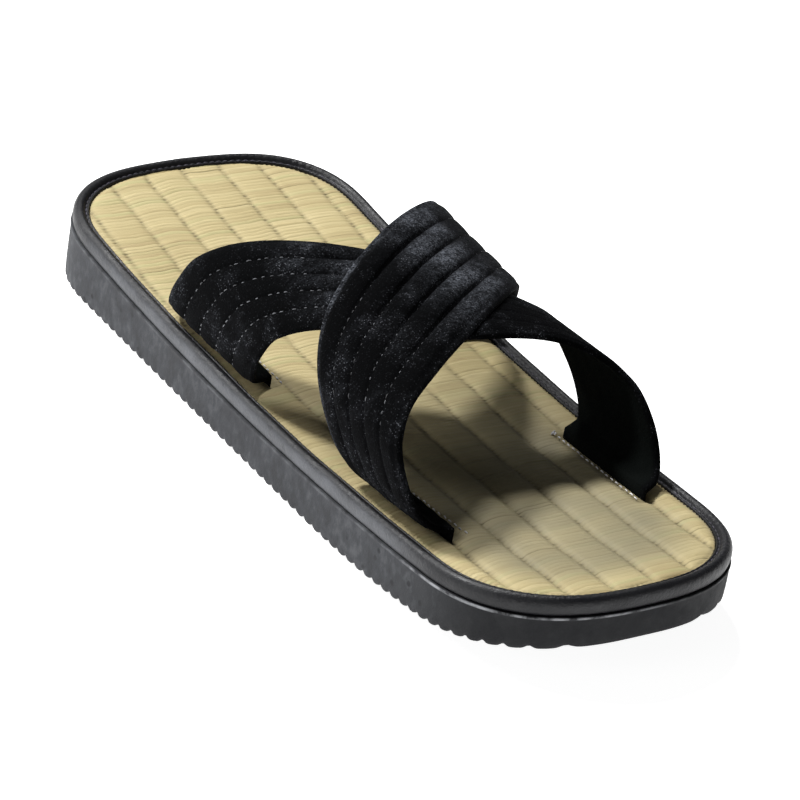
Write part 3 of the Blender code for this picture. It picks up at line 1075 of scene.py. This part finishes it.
def fromRim(x, y):
    # the distance to the nearest of some 390 points of the mat's edge, a few rows of the grid at a time
    edgeX, edgeY = roundTheOutline(0.0, evenStations(0.0, matDetail["rimSpacing"])[0])
    parts = []
    for rows in np.array_split(np.arange(x.shape[0]), 12):
        away = np.hypot(x[rows][..., None] - edgeX, y[rows][..., None] - edgeY)
        parts.append(away.min(axis=-1))
    return np.concatenate(parts)


def makeMat():
    detail = matDetail
    half = matSize["length"] / 2
    dice = np.random.default_rng(detail["seed"])
    count = int(2 * half / detail["rushPitch"]) * detail["rowsPerRush"]
    y = np.linspace(detail["endGap"] - half, half - detail["endGap"], count)[:, None]
    share = np.linspace(-1.0, 1.0, detail["columns"] + 1)[None]
    x = halfWidthAt(y) * share
    y = np.broadcast_to(y, x.shape)

    # which warp column each point is in, and how far it is from the nearest warp line
    line = warpPlace(x, y)
    column = np.floor(line).astype(int) + 8
    acrossColumn = line - np.floor(line)

    # which rush, kept among 400 by 20 heights
    wander = 0.0
    for rise, overX, overY, start in detail["rushWaves"]:
        wander = wander + rise * np.sin(x / overX + start + y / overY)
    shift = dice.uniform(-0.5, 0.5, 20)[column] * softStep(0.0, 0.5, 0.5 - np.abs(acrossColumn - 0.5))
    place = (y + half) / detail["rushPitch"] + wander + shift
    rush = np.clip(np.floor(place).astype(int) + 2, 0, 399)
    within = place - np.floor(place)
    valley = np.abs(2 * within - 1)

    heights = dice.normal(0.0, detail["uneven"], (400, 20))
    slits = nearSlits(x, y)
    height = detail["rushCrown"] * (1 - valley ** 2.2) + heights[rush, column] * (1 - valley ** 2)
    height = height * mix(0.55, 0.80, softStep(-0.070, 0.010, y)) + pillowHeight(x, y)
    rim = fromRim(x, y)
    height = height * mix(0.25, 1.0, softStep(0.0, detail["rim"], rim))
    height = height - detail["sunk"] - detail["slitDip"] * slits
    height = height - detail["edgeDrop"] * softStep(0.0022, 0.0, rim) ** 2
    top = np.stack([x, y, matTop(y) + height], axis=-1)

    # the skirt and the underside close each cross-section
    low = np.linspace(1.0, -1.0, 5)[None] * halfWidthAt(y[:, :1])
    lowY = np.broadcast_to(y[:, :1], low.shape)
    bottom = np.stack([low, lowY, matTop(lowY) - matSize["thick"]], axis=-1)
    rings = np.concatenate([top, bottom], axis=1)
    rows, columns = rings.shape[:2]
    faces = gridFaces(rows, columns, closeColumns=True)

    # the underside has none of these
    # painted shade: round the slits, and under the forefoot fading in towards the toe and away from the rim
    values = {"rushPlace": place + 2.0, "warpPlace": line + 8.0, "hollowShade": 0.5 * slits,
              "paintedShading": softStep(0.020, -0.060, y) * softStep(0.0, 0.020, rim)}
    values = {key: np.pad(array, ((0, 0), (0, low.shape[1]))) for key, array in values.items()}
    return makePiece("rushMat", rings, faces, rushFinish, values, endFaces(rows, columns))


rushMat = makeMat()
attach(rushMat, "root")
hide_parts("insole")

# White stitches on the mat, just inside each slit, with a knot at the end towards the heel
slitStitch = {
    "pitch": 0.0025,
    "length": 0.0016,
    "radius": 0.00023,
    "bow": 0.25,
    "sink": 0.00005,
    "jitter": 0.0002,
    "lean": 0.1,
    "knot": 0.0006,           # half the width of a knot
    "knotLift": 0.0002,
    # how far inside the strap's foot the row begins and ends: at the toe slit, then at the heel slit
    "insets": {
        "top": ((0.0030, 0.0010), (0.0012, 0.0012)),
        "under": ((0.0005, 0.0004), (0.0020, 0.0020)),
    },
    "seed": 31,
}


def makeSlitStitches():
    detail = slitStitch
    dice = np.random.default_rng(detail["seed"])
    centres, forwards = [], []
    for key, strap in (("top", topStrap), ("under", underStrap)):
        for end, slit, low, high in slitEnds(strap):
            count = int((high - low) / detail["pitch"])
            share = (np.arange(count + 1) + 0.5) / count
            y = mix(low, high, share)
            inset = strapSize["wall"] + mix(*detail["insets"][key][end], share)
            x = slit - math.copysign(1.0, slit) * inset
            x = x + dice.uniform(-detail["jitter"], detail["jitter"], count + 1)
            z = matTop(y) + pillowHeight(x, y) - detail["sink"]
            place = np.stack([x, y, z], axis=-1)
            centres.append(place[:-1])
            lean = dice.uniform(-detail["lean"], detail["lean"], count)
            forwards.append(np.stack([lean, np.ones(count), np.zeros(count)], axis=-1))
            # a knot is five threads at random, low and nearly level
            knot = detail["knot"] * dice.uniform(-1.0, 1.0, (5, 3)) * np.array([1.0, 1.0, 0.35])
            centres.append(knot + place[-1] + np.array([0.0, 0.0, detail["knotLift"]]))
            forwards.append(dice.uniform(-1.0, 1.0, (5, 3)) * np.array([1.0, 1.0, 0.2]) + 1e-3)
    centre = np.concatenate(centres)
    forward = unit(np.concatenate(forwards))
    tone = dice.random(len(centre))
    return makeThreads("slitStitches", detail, matStitchFinish, centre, forward, upFrom(forward), tone)


slitStitches = makeSlitStitches()
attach(slitStitches, "root")
print("mat made")

# The floor, the lights and the plain white surroundings
stageLook = {
    "floor": (0.70, 0.70, 0.70),
    "floorGlow": 0.91,        # a light table, so that shadows on it stay pale
    "world": (1.0, 1.0, 1.0),
    "worldStrength": 0.07,
    "litPoint": (0.0, 0.0, 0.02),
    # columns: name, place, size, power in watts
    "lights": (
        ("sideLight", (-1.60, 0.00, 0.50), 0.8, 4.0),
        ("lowLight", (-1.00, 1.50, 0.70), 0.5, 9.0),
        ("leftTopLight", (-0.80, 1.00, 1.60), 0.28, 44.0),
        ("rightTopLight", (0.12, 0.95, 1.62), 0.28, 19.0),
        ("frontFill", (-0.6, -1.8, 0.8), 1.2, 2.0),
    ),
}


def makeStage():
    size = 6.0
    corners = [(-size, -size, 0.0), (size, -size, 0.0), (size, size, 0.0), (-size, size, 0.0)]
    mesh = bpy.data.meshes.new("floor")
    mesh.from_pydata(corners, [], [(0, 1, 2, 3)])
    material, tree, shader = startMaterial("paleFloor")
    feed(tree, shader, {
        "Base Color": (*stageLook["floor"], 1.0),
        "Roughness": 0.9,
        "Specular IOR Level": 0.1,
        "Emission Color": (1.0, 1.0, 1.0, 1.0),
        "Emission Strength": stageLook["floorGlow"],
    })
    mesh.materials.append(material)
    floor = addToScene("floor", mesh)
    world = bpy.data.worlds.new("surroundings")
    world.use_nodes = True
    surroundings = {"Color": (*stageLook["world"], 1.0), "Strength": stageLook["worldStrength"]}
    feed(world.node_tree, world.node_tree.nodes["Background"], surroundings)
    bpy.context.scene.world = world
    for name, place, width, power in stageLook["lights"]:
        lamp = bpy.data.lights.new(name, "AREA")
        lamp.shape = "DISK"
        lamp.size = width
        lamp.energy = power
        light = addToScene(name, lamp)
        light.location = place
        back = Vector(place) - Vector(stageLook["litPoint"])
        light.rotation_euler = back.to_track_quat("Z", "Y").to_euler()


makeStage()
bpy.context.scene.view_settings.view_transform = "Standard"
print("stage set")
